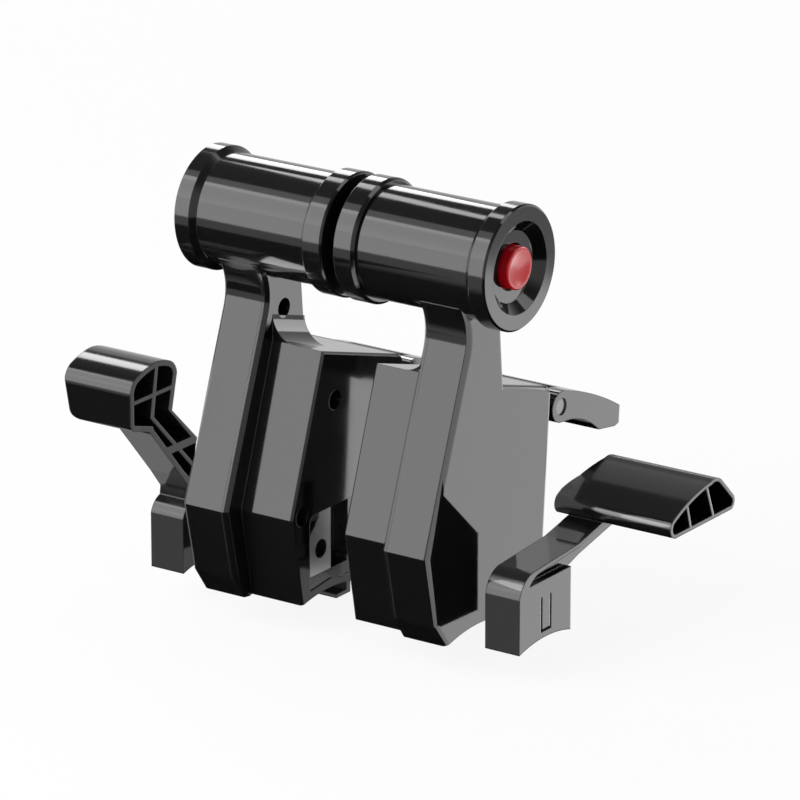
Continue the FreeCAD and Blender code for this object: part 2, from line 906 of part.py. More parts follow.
def stub_carrier():
    low = S.carrier_floor_z
    block = box(
        "carrier_block",
        (clip_far + S.seat_play, S.carrier_front_y, low),
        (S.outer_face - S.wall - S.seam_play, S.carrier_rear_y, S.carrier_top_z),
    )
    room = inset_prism(
        "carrier_room", S.inner_face + S.wall + S.seam_play, S.outer_face, inner_outline(), S.wall + S.seam_play
    )
    in_window = box(
        "carrier_in_window",
        (clip_far, S.window_front_y + S.seam_play, S.window_sill_z + 0.6),
        (S.inner_face + S.wall + 0.2, S.window_rear_y, S.window_top_z - S.seam_play),
    )
    body = common("carrier_mass", block, fuse("carrier_space", room, in_window))
    relief = box(
        "hook_relief",
        (clip_far - 1, S.clip_rear_y, low - 1),
        (S.hook_inner_x + S.hook_width - 1, S.carrier_rear_y - 3, S.carrier_top_z - 2),
    )
    middle = box(
        "carrier_core",
        (S.hook_inner_x + S.hook_width + 2, S.carrier_front_y + 2, low - 1),
        (S.outer_stub_x - S.stub_thickness - 2, S.carrier_rear_y - 2, S.carrier_top_z - 2),
    )
    top = low + S.stub_height
    slots = [
        stub_slot("inner_socket", S.inner_stub_x, low - 1, top, S.stub_play),
        stub_slot("outer_socket", S.outer_stub_x, low - 1, top, S.stub_play),
    ]
    open_side = box(
        "open_side",
        (clip_far - 1, S.stub_y - S.stub_width / 2 - S.stub_play, low - 1),
        (S.inner_stub_x, S.stub_y + S.stub_width / 2 + S.stub_play, top),
    )
    bosses = [
        rod(
            "carrier_" + name,
            S.inner_face,
            S.outer_face,
            y,
            z,
            S.screw_boss_radius + S.seam_play,
        )
        for name, (y, z, face, tube_end) in SCREWS.items()
    ]
    carrier = cut("carrier", body, relief, middle, open_side, *slots, *bosses)
    sill = box(
        "carrier_sill",
        (clip_near, S.window_front_y + S.seam_play, S.window_sill_z - 1),
        (clip_far, S.carrier_rear_y, S.clip_bottom_z - S.seam_play),
    )
    return fuse("stub_carrier", carrier, sill, hook())


def hook():
    """Release hook that reaches down through the floor beside the stub."""
    far = S.hook_inner_x + S.hook_width
    near = S.hook_inner_x + S.stub_play
    stem = box(
        "hook_stem",
        (near, S.hook_rear_y - S.hook_stem, S.hook_foot_z),
        (far, S.hook_rear_y, S.carrier_floor_z + 4),
    )
    foot = box(
        "hook_foot",
        (near, S.hook_front_y, S.hook_foot_z),
        (far, S.hook_rear_y, S.hook_foot_z + S.hook_foot),
    )
    return fuse("release_hook", stem, foot)


def stub_clip():
    """Spring leaf beside the inner stub, with the hole that the stub's stud snaps into."""
    front = S.window_front_y + S.seam_play
    leaf = prism(
        "clip_leaf",
        clip_near,
        clip_far,
        [
            (front, S.clip_bottom_z),
            (front, S.window_top_z - S.clip_chamfer - 1.6),
            (front + S.clip_chamfer - 0.4, S.window_top_z - S.clip_chamfer + 3.6),
            (front + S.clip_chamfer - 0.4, S.window_top_z - S.seam_play),
            (S.clip_rear_y, S.window_top_z - S.seam_play),
            (S.clip_rear_y, S.clip_bottom_z),
        ],
    )
    hole = rod(
        "clip_hole", clip_near - 1, clip_far + 1, S.clip_hole_y, S.clip_hole_z, S.clip_hole_radius
    )
    return cut("stub_clip", leaf, hole)


pair("stub_carrier", stub_carrier())
pair("stub_clip", stub_clip())

# ---------------------------------------------------------------- contact board and lead

board_top = S.carrier_top_z + S.board_thickness
pair(
    "contact_board",
    box(
        "contact_board",
        (seam + 1, S.carrier_front_y + 4, S.carrier_top_z),
        (S.outer_face - S.wall - 1, S.carrier_rear_y, board_top),
    ),
)


def button_lead():
    """Two-core lead from the switch cup down the arm to the contact board."""
    x = S.lead_x.value
    y = S.lead_y.value
    bend = S.lead_bend.value
    end_x = (cup_face - S.cup_floor).value
    turn_z = S.grip_z.value - bore_radius.value / 2
    foot = Vector(x, y, board_top.value)
    corner = Vector(x, y, turn_z)
    crest = Vector(x + bend, y, turn_z + bend)
    mid = Vector(x + bend * (1 - math.sqrt(0.5)), y, turn_z + bend * math.sqrt(0.5))
    path = Part.Wire(
        [
            Part.LineSegment(foot, corner).toShape(),
            Part.Arc(corner, mid, crest).toShape(),
            Part.LineSegment(crest, Vector(end_x, y, crest.z)).toShape(),
        ]
    )
    section = Part.Wire(Part.makeCircle(S.lead_radius.value, foot, Vector(0, 0, 1)))
    lead = doc.addObject("Part::Feature", "lead")
    lead.Shape = path.makePipeShell([section], True, False)
    return lead


pair("button_lead", button_lead())

# ---------------------------------------------------------------- reverser paddle

paddle_near = S.inner_face + S.paddle_inset
paddle_far = S.outer_face - S.paddle_inset
pin_play = S.pin_radius + S.running_play


def paddle():
    lobe = S.paddle_lobe
    y = S.reverser_y
    z = S.reverser_z
    steps = [
        (y - 1, z - lobe + 0.1),
        (y - 1, z + lobe - 0.1, lobe, 1),
        (y + lobe * 0.6, z + lobe * 0.92, lobe * 1.8, 1),
        (S.paddle_tip_y, S.paddle_tip_z, S.paddle_back_radius, 1),
        (S.paddle_tip_y - 0.4, S.paddle_nose_z + 0.6),
        (S.paddle_nose_y, S.paddle_nose_z),
        (S.paddle_heel_y, S.paddle_heel_z),
        (y + lobe * 0.95, z - lobe * 1.08, S.scallop_radius, -1),
    ]
    blank = prism("paddle_blank", paddle_near, paddle_far, steps)
    clear = box(
        "ear_gap",
        (paddle_near + S.ear_width, y - 2 * lobe, z - 2 * lobe),
        (paddle_far - S.ear_width, y + S.ear_depth, z + 2 * lobe),
    )
    pin_hole = rod("paddle_pin_hole", paddle_near - 1, paddle_far + 1, y, z, pin_play)
    sink = S.pin_head_radius + S.running_play
    sinks = [
        rod("sink_near", paddle_near - 1, paddle_near + S.pin_head, y, z, sink),
        rod("sink_far", paddle_far - S.pin_head, paddle_far + 1, y, z, sink),
    ]
    return cut("reverser_paddle", blank, clear, pin_hole, *sinks)


def bracket():
    y = S.reverser_y
    z = S.reverser_z
    half = S.bracket_height / 2
    low = z - S.lug_radius * 0.3 - half
    high = z - S.lug_radius * 0.3 + half
    wall_y = S.rear_foot_y + 0.6
    flange = box(
        "bracket_flange",
        (bracket_near - 2, wall_y - S.bracket_flange, low - 1.5),
        (bracket_far + 2, wall_y, high + 1.0),
    )
    web = box(
        "bracket_web",
        (bracket_near, wall_y - S.bracket_flange, low),
        (bracket_far, y - S.lug_radius - 1.6, high),
    )
    lugs = []
    for label, near in (("near", bracket_near), ("far", bracket_far - S.lug_width)):
        eye = rod("lug_eye_" + label, near, near + S.lug_width, y, z, S.lug_radius)
        arm = box(
            "lug_arm_" + label,
            (near, wall_y, z - S.lug_radius),
            (near + S.lug_width, y, z + S.lug_radius),
        )
        lugs += [eye, arm]
    solid = fuse("bracket_mass", flange, web, *lugs)
    hole = rod("bracket_pin_hole", bracket_near - 1, bracket_far + 1, y, z, pin_play)
    return cut("reverser_bracket", solid, hole)


pin_near = paddle_near + S.pin_recess
pin_far = paddle_far - S.pin_recess
pair("reverser_paddle", paddle())
pair("reverser_bracket", bracket())
pair(
    "reverser_pin",
    turned(
        "reverser_pin",
        S.reverser_y,
        S.reverser_z,
        [
            (pin_near, 0),
            (pin_near, S.pin_head_radius),
            (paddle_near + S.pin_head - S.seat_play, S.pin_head_radius),
            (paddle_near + S.pin_head - S.seat_play, S.pin_radius),
            (paddle_far - S.pin_head + S.seat_play, S.pin_radius),
            (paddle_far - S.pin_head + S.seat_play, S.pin_head_radius),
            (pin_far, S.pin_head_radius),
            (pin_far, 0),
        ],
    ),
)
pair(
    "reverser_spring",
    wound(
        "return_coil",
        bracket_near + S.lug_width,
        bracket_far - S.lug_width,
        S.reverser_y,
        S.reverser_z,
        S.return_radius,
        S.return_wire,
        S.return_turns,
    ),
)

# ---------------------------------------------------------------- side levers

block_half = S.block_width / 2
block_chord = S.block_rear_y - S.block_front_y
block_arch = (block_chord * block_chord / 4 + S.block_arch_rise * S.block_arch_rise) / (
    S.block_arch_rise * 2
)


def block_cuts(name, middle, outer_sign):
    """Stub slot, snap tab slits and the relief behind the tab, for a block about x = middle."""
    half_x = S.stub_thickness / 2 + S.stub_play
    half_y = S.stub_width / 2 + S.stub_play
    slot = box(
        name + "_slot",
        (middle - half_x, S.block_stub_y - half_y, -5),
        (middle + half_x, S.block_stub_y + half_y, S.stub_height - 2),
    )
    tab_near = S.block_stub_y - S.tab_width / 2
    tab_far = S.block_stub_y + S.tab_width / 2
    face = middle + outer_sign * block_half
    inner = middle + outer_sign * (block_half - S.tab_wall)
    relief_low, relief_high = (middle, inner) if outer_sign > 0 else (inner, middle)
    relief = box(
        name + "_relief",
        (relief_low, tab_near - S.tab_relief, S.tab_bottom_z - S.tab_relief),
        (relief_high, tab_far + S.tab_relief, S.tab_top_z + 1),
    )
    skin_low, skin_high = (inner - 0.5, face + 1) if outer_sign > 0 else (face - 1, inner + 0.5)
    slits = [
        box(
            name + "_slit_front",
            (skin_low, tab_near, S.tab_bottom_z),
            (skin_high, tab_near + S.tab_slit, S.tab_top_z),
        ),
        box(
            name + "_slit_rear",
            (skin_low, tab_far - S.tab_slit, S.tab_bottom_z),
            (skin_high, tab_far, S.tab_top_z),
        ),
        box(
            name + "_slit_foot",
            (skin_low, tab_near, S.tab_bottom_z),
            (skin_high, tab_far, S.tab_bottom_z + S.tab_slit),
        ),
    ]
    return [slot, relief] + slits


def speed_brake():
    near = -S.side_lever_x - block_half
    far = -S.side_lever_x + block_half
    front = S.block_front_y
    rear = S.block_rear_y
    half_rib = S.brake_rib / 2
    lever = prism(
        "brake_lever_mass",
        near,
        far,
        [
            (front, 0, block_arch, -1),
            (front, S.brake_shoulder_z),
            (S.brake_waist_y, S.brake_neck_z, 7, 1),
            (S.brake_waist_y + 0.4, S.brake_waist_z),
            (front, S.brake_waist_z + 6.5),
            (S.brake_knob_front_y + 10, S.brake_knob_low_z),
            (S.brake_knob_front_y + 8, S.brake_rib_z),
            (S.brake_knob_rear_y - 3, S.brake_rib_z),
            (S.brake_knob_rear_y - 3, S.brake_arm_top_z),
            (rear - 2.6, S.brake_shoulder_z + 7.8),
            (rear, S.brake_shoulder_z + 3.2, 5, 1),
            (rear, 0),
        ],
    )
    knob_steps = [
        (S.brake_knob_front_y + 2.4, S.brake_knob_low_z + 2.9),
        (S.brake_knob_front_y, S.brake_knob_low_z + 5.4, 2.6, 1),
        (S.brake_knob_front_y, S.brake_knob_top_z - 7.6),
        (S.brake_knob_front_y + 3.2, S.brake_knob_top_z - 2.5, 5.8, 1),
        (S.brake_crest_y, S.brake_knob_top_z, S.brake_crown_radius, 1),
        (S.brake_knob_rear_y - 4.4, S.brake_knob_top_z - 1.2, 20, 1),
        (S.brake_knob_rear_y, S.brake_knob_top_z - 6.2, 6, 1),
        (S.brake_knob_rear_y - 2.7, S.brake_arm_top_z),
        (S.brake_knob_rear_y - 6, S.brake_knob_low_z),
        (S.brake_knob_front_y + 12, S.brake_knob_low_z),
    ]
    knob = prism("brake_knob", -S.brake_knob_far, far, knob_steps)
    end = -S.brake_knob_far
    corner = front_prism(
        "brake_corner",
        S.brake_knob_front_y - 2,
        S.brake_knob_rear_y + 2,
        [
            (end, S.brake_knob_top_z - 6),
            (end + 1.6, S.brake_knob_low_z + 7.4),
            (end + 5.2, S.brake_knob_low_z + 3.2, 4.6, -1),
            (end + 11, S.brake_knob_low_z),
            (end + 11, S.brake_knob_low_z - 4),
            (end - 2, S.brake_knob_low_z - 4),
            (end - 2, S.brake_knob_top_z - 6),
        ],
    )
    mass = fuse("brake_mass", lever, cut("brake_knob_trimmed", knob, corner))
    arm_cavity = prism(
        "brake_arm_cavity",
        far - S.brake_arm_depth,
        far + 1,
        [
            (front + 7, S.brake_waist_z + 2),
            (front + 0.6, S.brake_waist_z + 8.5),
            (S.brake_knob_front_y + 11.4, S.brake_knob_low_z + 1.2),
            (S.brake_knob_front_y + 10.5, S.brake_rib_z),
            (S.brake_knob_rear_y - 4.4, S.brake_rib_z),
            (S.brake_knob_rear_y - 4.4, S.brake_arm_top_z + 0.2),
            (rear - 4.4, S.brake_shoulder_z + 6.6),
            (front + 8.8, S.brake_shoulder_z + 6.6),
        ],
    )
    knob_cavity = inset_prism(
        "brake_knob_cavity", far - S.brake_knob_depth, far + 1, knob_steps, S.brake_wall
    )
    shelf = box(
        "brake_shelf",
        (far - S.brake_knob_depth, S.brake_knob_front_y, S.brake_rib_z - half_rib),
        (far, S.brake_knob_rear_y + 2, S.brake_rib_z + half_rib),
    )
    knee_y = S.brake_knob_front_y + 10.8
    spine = prism(
        "brake_spine",
        far - S.brake_knob_depth,
        far,
        [
            (knee_y - half_rib, S.brake_arm_top_z + 0.2),
            (knee_y + 3.4 - half_rib, S.brake_knob_top_z + 2),
            (knee_y + 3.4 + half_rib, S.brake_knob_top_z + 2),
            (knee_y + half_rib * 1.6, S.brake_arm_top_z + 0.2),
            (S.brake_waist_y + half_rib * 1.4, S.brake_waist_z + 9.8),
            (S.brake_waist_y + 11 + half_rib, S.brake_neck_z + 1.6),
            (S.brake_waist_y + 11 - half_rib, S.brake_neck_z + 1.6),
            (S.brake_waist_y - half_rib * 1.4, S.brake_waist_z + 9.8),
        ],
    )
    cross = box(
        "brake_cross",
        (far - S.brake_arm_depth, S.brake_knob_front_y + 8, S.brake_cross_z),
        (far, rear - 6, S.brake_cross_z + S.brake_cross_rib),
    )
    room = cut("brake_room", fuse("brake_cavity", arm_cavity, knob_cavity), shelf, spine, cross)
    return cut("speed_brake_lever", mass, room, *block_cuts("brake", -S.side_lever_x, 1))


def flaps():
    near = S.side_lever_x - block_half
    far = S.side_lever_x + block_half
    front = S.block_front_y
    rear = S.block_rear_y
    sole = S.flaps_sole_z
    shoulder = S.flaps_shoulder_z
    lever = prism(
        "flaps_lever_mass",
        near,
        far,
        [
            (front, 0, block_arch, -1),
            (front, shoulder - 2.8),
            (front + 8.6, shoulder + 4.2, 8.6, 1),
            (S.flaps_knee_y, S.flaps_knee_z),
            (S.flaps_knob_front_y + 11, sole + 2.6),
            (S.flaps_knob_front_y + 11, sole - 3.2),
            (rear + 8, shoulder + 1),
            (rear + 3, shoulder - 0.6),
            (rear, shoulder - 3.4, 3.6, -1),
            (rear, 0),
        ],
    )
    knob_steps = [
        (S.flaps_knob_front_y + 1.2, sole),
        (S.flaps_knob_front_y, sole + 6.2, 3.3, 1),
        (S.flaps_crest_y - 3.6, S.flaps_crest_z, 60, 1),
        (S.flaps_crest_y + 2.6, S.flaps_crest_z - 1.2, 6, 1),
        (S.flaps_knob_rear_y - 0.3, sole + 4.3),
        (S.flaps_knob_rear_y - 1.4, sole, 2.7, 1),
    ]
    end = S.flaps_knob_near
    knob_blank = prism("flaps_knob_blank", end, S.flaps_knob_far, knob_steps)
    outside = plan_prism(
        "flaps_left_end",
        sole - 2,
        S.flaps_crest_z + 5,
        [
            (end - 0.4, S.flaps_knob_front_y - 4),
            (end - 0.4, S.flaps_knob_front_y),
            (end + 2.1, S.flaps_knob_front_y + 9.3, 40, 1),
            (end + S.flaps_knob_skew, S.flaps_knob_rear_y + 3),
            (end - 4, S.flaps_knob_rear_y + 3),
            (end - 4, S.flaps_knob_front_y - 4),
        ],
    )
    knob = cut("flaps_knob", knob_blank, outside)
    recess = prism(
        "flaps_arm_side",
        far - S.flaps_arm_recess,
        far + 1,
        [
            (front + 5, shoulder),
            (front + 9.6, shoulder + 4 - S.flaps_arm_flange, 9, 1),
            (S.flaps_knee_y, S.flaps_knee_z - S.flaps_arm_flange),
            (S.flaps_knob_front_y + 12, sole + 2.8 - S.flaps_arm_flange),
            (S.flaps_knob_front_y + 12, shoulder - 6),
            (rear, shoulder - 6),
            (rear, shoulder),
        ],
    )
    room = inset_prism(
        "flaps_knob_room",
        S.flaps_knob_far - S.flaps_knob_depth,
        S.flaps_knob_far + 1,
        knob_steps,
        S.flaps_wall,
    )
    half_rib = S.flaps_rib / 2
    rib_rise = S.flaps_crest_z - sole + 2
    ribs = [
        prism(
            f"flaps_rib_{i}",
            end,
            S.flaps_knob_far,
            [
                (foot - half_rib, sole),
                (foot - lean - half_rib, sole + rib_rise),
                (foot - lean + half_rib, sole + rib_rise),
                (foot + half_rib, sole),
            ],
        )
        for i, (foot, lean) in enumerate(
            ((S.flaps_knob_front_y + 10, 4.2), (S.flaps_crest_y - 1.7, 5.5))
        )
    ]
    cells = cut("flaps_cells", room, *ribs)
    mass = fuse("flaps_mass", cut("flaps_arm", lever, recess), knob)
    return cut("flaps_lever", mass, cells, *block_cuts("flaps", S.side_lever_x, 1))


node("speed_brake_lever", speed_brake())
node("flaps_lever", flaps())

# ---------------------------------------------------------------- check and write

doc.recompute()
failed = [o.Name for o in doc.Objects if "Invalid" in o.State or "Error" in o.State]
for label, thing in NODES.items():
    if thing.Shape.isNull() or not thing.Shape.isValid():
        failed.append(label)
if failed:
    raise SystemExit("these objects failed: " + ", ".join(failed))

os.makedirs("parts", exist_ok=True)
for label, thing in NODES.items():
    thing.Shape.exportStep(f"parts/{label}.step")
    size = thing.Shape.BoundBox
    print(f"{label}: {len(thing.Shape.Solids)} solid(s), {thing.Shape.Volume:.0f} mm3,", end=" ")
    print(f"{size.XLength:.1f} x {size.YLength:.1f} x {size.ZLength:.1f}")
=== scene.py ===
# %% [markdown]
# A set of lever handles for a desktop flight-control quadrant: two thrust levers with thumb
# buttons and reverser paddles, a speed brake lever on the left and a flaps lever on the right.
# All four are dark injection mouldings. The engineering model is loaded first and stays as it
# is, and this file gives it its finishes, its small hardware, a studio and a camera.

# %% Load the engineering model
import math

import bmesh
import bpy
from mathutils import Matrix, Vector


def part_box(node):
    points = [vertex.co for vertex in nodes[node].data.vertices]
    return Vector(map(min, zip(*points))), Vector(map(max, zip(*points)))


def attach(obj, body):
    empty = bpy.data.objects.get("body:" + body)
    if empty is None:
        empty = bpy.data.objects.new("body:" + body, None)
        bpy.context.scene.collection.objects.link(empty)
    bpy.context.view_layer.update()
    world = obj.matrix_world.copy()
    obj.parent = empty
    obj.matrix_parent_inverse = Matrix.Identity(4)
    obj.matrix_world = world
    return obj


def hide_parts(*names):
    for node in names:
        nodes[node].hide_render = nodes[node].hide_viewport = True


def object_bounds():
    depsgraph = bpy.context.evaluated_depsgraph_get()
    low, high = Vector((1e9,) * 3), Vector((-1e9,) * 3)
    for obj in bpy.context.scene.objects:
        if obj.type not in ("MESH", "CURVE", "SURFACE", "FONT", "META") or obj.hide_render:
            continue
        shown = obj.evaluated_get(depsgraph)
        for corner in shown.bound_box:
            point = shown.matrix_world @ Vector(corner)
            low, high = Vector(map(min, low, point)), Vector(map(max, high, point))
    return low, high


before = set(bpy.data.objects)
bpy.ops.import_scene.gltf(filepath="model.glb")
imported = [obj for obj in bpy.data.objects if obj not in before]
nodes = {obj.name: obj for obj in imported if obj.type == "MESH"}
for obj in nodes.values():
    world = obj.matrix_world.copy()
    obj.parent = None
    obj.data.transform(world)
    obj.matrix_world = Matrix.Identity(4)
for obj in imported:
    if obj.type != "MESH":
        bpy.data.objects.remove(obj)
cad_box = [list(corner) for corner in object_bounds()]

# %% [markdown]
# The camera stands well back with a long lens, as is usual for a catalogue, so the levers' long
# edges stay nearly parallel.

# %% Camera
lens_data = bpy.data.cameras.new("catalogue_lens")
lens_data.lens = 286.16
lens_data.sensor_width = 36
lens_data.clip_start = 0.1
lens_data.clip_end = 30
camera = bpy.data.objects.new("catalogue_camera", lens_data)
bpy.context.scene.collection.objects.link(camera)
camera.location = (1.05044, -1.49449, 0.68474)
looks_at = Vector((0.018325, -0.001987, 0.068557))
camera.rotation_mode = "QUATERNION"
camera.rotation_quaternion = (looks_at - camera.location).to_track_quat("-Z", "Y")
bpy.context.scene.camera = camera
print("camera distance", round((looks_at - camera.location).length, 3), "m")

# %% [markdown]
# Every finish, card and wall below is a small tree of shader nodes. A few helpers make the
# kinds of node that come back again and again: a new tree, a factor that depends on the kind of
# ray, a mix of two shaders, a ramp from one number to another, a glow and a noise.

# %% Shader helpers


def shader_tree(name):
    """New material with an empty node tree and its output; returns material, tree, output."""
    made = bpy.data.materials.new(name)
    made.use_nodes = True
    tree = made.node_tree
    tree.nodes.clear()
    return made, tree, tree.nodes.new("ShaderNodeOutputMaterial")


def seen_by(tree, weights):
    """Factor that is each ray kind's weight for the rays of that kind, and 0 for the rest."""
    path = tree.nodes.new("ShaderNodeLightPath")
    factor = None
    for ray, weight in weights.items():
        part = tree.nodes.new("ShaderNodeMath")
        part.operation = "MULTIPLY_ADD" if factor else "MULTIPLY"
        part.inputs[1].default_value = weight
        tree.links.new(path.outputs[ray], part.inputs[0])
        if factor:
            tree.links.new(factor, part.inputs[2])
        factor = part.outputs[0]
    return factor


def mixed(tree, factor, first, second):
    """Mix of two shader nodes: the first at factor 0 and the second at factor 1."""
    blend = tree.nodes.new("ShaderNodeMixShader")
    tree.links.new(factor, blend.inputs[0])
    tree.links.new(first.outputs[0], blend.inputs[1])
    tree.links.new(second.outputs[0], blend.inputs[2])
    return blend


def ramp(tree, source, start, end, low=0.0, high=1.0, kind="LINEAR"):
    """Number that goes from low to high while the source goes from start to end."""
    span = tree.nodes.new("ShaderNodeMapRange")
    span.interpolation_type = kind
    span.inputs["From Min"].default_value = start
    span.inputs["From Max"].default_value = end
    span.inputs["To Min"].default_value = low
    span.inputs["To Max"].default_value = high
    tree.links.new(source, span.inputs["Value"])
    return span.outputs[0]


def glow(tree, brightness):
    """Even emission; a brightness of 1 shows as white."""
    face = tree.nodes.new("ShaderNodeEmission")
    face.inputs["Strength"].default_value = brightness
    return face


def slanting_glow(tree, brightness, none_at=0.42, full_at=0.58):
    """Emission of full brightness at a shallow angle and none when looked at squarely."""
    face = glow(tree, brightness)
    slant = tree.nodes.new("ShaderNodeLayerWeight")
    fade = ramp(tree, slant.outputs["Facing"], none_at, full_at, 0, brightness)
    tree.links.new(fade, face.inputs["Strength"])
    return face


def noise(tree, where, scale, detail, distortion=0.0):
    """Noise at the given coordinates, with scale cells to the metre."""
    texture = tree.nodes.new("ShaderNodeTexNoise")
    texture.inputs["Scale"].default_value = scale
    texture.inputs["Detail"].default_value = detail
    texture.inputs["Distortion"].default_value = distortion
    tree.links.new(where, texture.inputs["Vector"])
    return texture.outputs["Fac"]


def blended(tree, factor, first, second):
    """Colour between two, each a red, green and blue or the socket that gives a colour."""
    mix = tree.nodes.new("ShaderNodeMix")
    mix.data_type = "RGBA"
    tree.links.new(factor, mix.inputs["Factor"])
    for label, colour in (("A", first), ("B", second)):
        if isinstance(colour, bpy.types.NodeSocket):
            tree.links.new(colour, mix.inputs[label])
        else:
            mix.inputs[label].default_value = (*colour, 1)
    return mix.outputs["Result"]


def shade(colour, share_kept, lift=0.0):
    """The colour times share_kept plus lift, and never above 1."""
    return [min(channel * share_kept + lift, 1) for channel in colour]


def bumped(tree, height, depth, strength=1.0, over=None):
    """Normal with a relief `depth` metres deep, over another normal where one is given."""
    bump = tree.nodes.new("ShaderNodeBump")
    bump.inputs["Distance"].default_value = depth
    bump.inputs["Strength"].default_value = strength
    tree.links.new(height, bump.inputs["Height"])
    if over:
        tree.links.new(over, bump.inputs["Normal"])
    return bump.outputs["Normal"]


print("ten helpers for shader trees")

# %% [markdown]
# Glossy black plastic shows almost nothing but what it mirrors, so the studio is laid out by
# what each face should mirror: white paper at a shallow angle, a dim ceiling, and a few bright
# panels. Together the lamps light a matt card to about its own colour, so the finishes can be
# judged as they are written. The paper glows where the camera sees it, shines at a shallow
# angle in reflections, and is a matt sheet otherwise.

# %% Paper sweep
paper, tree, out = shader_tree("studio_paper")
matt = tree.nodes.new("ShaderNodeBsdfDiffuse")
matt.inputs["Color"].default_value = (0.8, 0.8, 0.8, 1)
in_sight = seen_by(tree, {"Is Camera Ray": 0.9, "Is Transmission Ray": 1})
sheet = mixed(tree, in_sight, matt, glow(tree, 1))
in_gloss = seen_by(tree, {"Is Glossy Ray": 1})
sheet = mixed(tree, in_gloss, sheet, slanting_glow(tree, 0.8))
tree.links.new(sheet.outputs[0], out.inputs["Surface"])


def flat_sheet(name, outline, finish):
    """One flat face through the given points, as part of the studio."""
    plan = bmesh.new()
    plan.faces.new([plan.verts.new(point) for point in outline])
    mesh = bpy.data.meshes.new(name)
    plan.to_mesh(mesh)
    plan.free()
    mesh.materials.append(finish)
    made = bpy.data.objects.new(name, mesh)
    bpy.context.scene.collection.objects.link(made)
    return made


def level_sheet(name, low, high, height, finish):
    """Level rectangle between two (x, y) corners."""
    (x0, y0), (x1, y1) = low, high
    outline = [(x0, y0, height), (x1, y0, height), (x1, y1, height), (x0, y1, height)]
    return flat_sheet(name, outline, finish)


floor_gap = 0.0005
floor_z = cad_box[0][2] - floor_gap
level_sheet("studio_floor", (-6, -6), (6, 6), floor_z, paper)
print("floor at", round(floor_z * 1000, 2), "mm")

# %% [markdown]
# Cards stand round a glossy dark object, as in any product studio. Black ones, at the front,
# keep the lower faces and the rounded edges deep; a bright one at the back right fills the flat
# sides with light, and a small pale one on the left lightens the speed brake's arm. The cards
# lie where only reflections can find them. Three more stand close to the levers and paint
# reflections on them. Along the right thrust lever's flank a bright one paints an even pale
# reflection, so the flank doesn't mirror the flaps lever, and a dark one in the outline of the
# flaps lever's block paints that block's reflection there. A small bright one paints an even
# pale reflection on the left lever's front, so the speed brake's knob stays out of it.
# These three are clear from behind, so the side levers see past them.

# %% Cards


def even_card(name, brightness):
    """Card that glows evenly, or is black at a brightness of 0."""
    made, tree, out = shader_tree(name)
    tree.links.new(glow(tree, brightness).outputs[0], out.inputs["Surface"])
    return made


def slanting_card(name, brightness):
    """Card that is bright at a shallow angle and black when looked at squarely."""
    made, tree, out = shader_tree(name)
    tree.links.new(slanting_glow(tree, brightness).outputs[0], out.inputs["Surface"])
    return made


def one_sided(name, brightness):
    """Card that glows on its front and isn't there from behind."""
    made, tree, out = shader_tree(name)
    side = tree.nodes.new("ShaderNodeNewGeometry")
    clear = tree.nodes.new("ShaderNodeBsdfTransparent")
    either = mixed(tree, side.outputs["Backfacing"], glow(tree, brightness), clear)
    tree.links.new(either.outputs[0], out.inputs["Surface"])
    return made


def upright_sheet(name, x, outline, finish):
    """Flat face across X, through the given (y, z) points."""
    return flat_sheet(name, [(x, y, z) for y, z in outline], finish)


velvet = even_card("black_card", 0)
foil = slanting_card("bright_card", 3.0)
pale = even_card("pale_card", 0.8)
# Painted reflection: black card in the outline of the flaps lever's block, just off the right
# lever's flank.
painted_flaps_reflection = one_sided("painted_flaps_reflection", 0)
# Painted reflection: bright card that paints an even pale reflection over the right lever's
# flank.
painted_flank_reflection = one_sided("painted_flank_reflection", 2.75)
# Painted reflection: bright card that paints an even pale reflection on the left lever's front.
painted_front_reflection = one_sided("painted_front_reflection", 4.2)

card_lift = 0.0002
card_z = floor_z + card_lift
flank_gap = 0.0011
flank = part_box("right_outer_shell")[1].x + flank_gap
card_step = 0.0001
behind = flank + card_step
# Outline of the flaps lever's block, painted dark on the right lever's flank as its reflection.
painted_flaps_outline = [
    (-0.021, 0.0037), (-0.021, 0.0537), (-0.0113, 0.0455), (0.0078, 0.0275), (0.0078, 0.0027)
]
flank_outline = [(-0.04, -0.02), (-0.04, 0.0955), (0.046, 0.0955), (0.046, -0.02)]
brake_outline = [(-0.031, 0.045), (-0.0135, 0.045), (-0.0135, 0.072), (-0.031, 0.072)]
cards = [
    level_sheet("card_front_left", (-0.32, -0.26), (-0.13, -0.11), card_z, velvet),
    level_sheet("card_front_right", (0.08, -0.45), (0.6, -0.04), card_z, velvet),
    level_sheet("card_back_right", (0.035, -0.02), (0.33, 0.33), card_z, foil),
    level_sheet("card_left", (-0.118, -0.03), (-0.078, 0.012), card_z, pale),
    # Paints the flaps block's reflection on the right lever's flank.
    upright_sheet("card_painted_flaps_reflection", flank, painted_flaps_outline, painted_flaps_reflection),
    # Paints an even pale reflection over the flank, in place of the flaps lever's.
    upright_sheet("card_painted_flank_reflection", behind, flank_outline, painted_flank_reflection),
    # Paints an even pale reflection on the left lever's front, in place of the speed brake's
    # knob.
    upright_sheet("card_painted_front_reflection", -behind, brake_outline, painted_front_reflection),
]
for card in cards:
    card.visible_camera = False
    card.visible_diffuse = False
    card.visible_shadow = False
    card.visible_transmission = False
print(len(cards), "cards")

# %% [markdown]
# The room itself is white where the camera looks past the paper. In reflections its walls are
# a little darker, and the ceiling is dim, so that the tops of the levers stay black between
# the lines that the lamps draw. Matt faces get a soft even fill.

# %% Walls and ceiling
world = bpy.data.worlds.new("studio_room")
world.use_nodes = True
bpy.context.scene.world = world
tree = world.node_tree
tree.nodes.clear()
out = tree.nodes.new("ShaderNodeOutputWorld")


def air(tree, brightness):
    """White light from all round."""
    made = tree.nodes.new("ShaderNodeBackground")
    made.inputs["Color"].default_value = (1, 1, 1, 1)
    made.inputs["Strength"].default_value = brightness
    return made


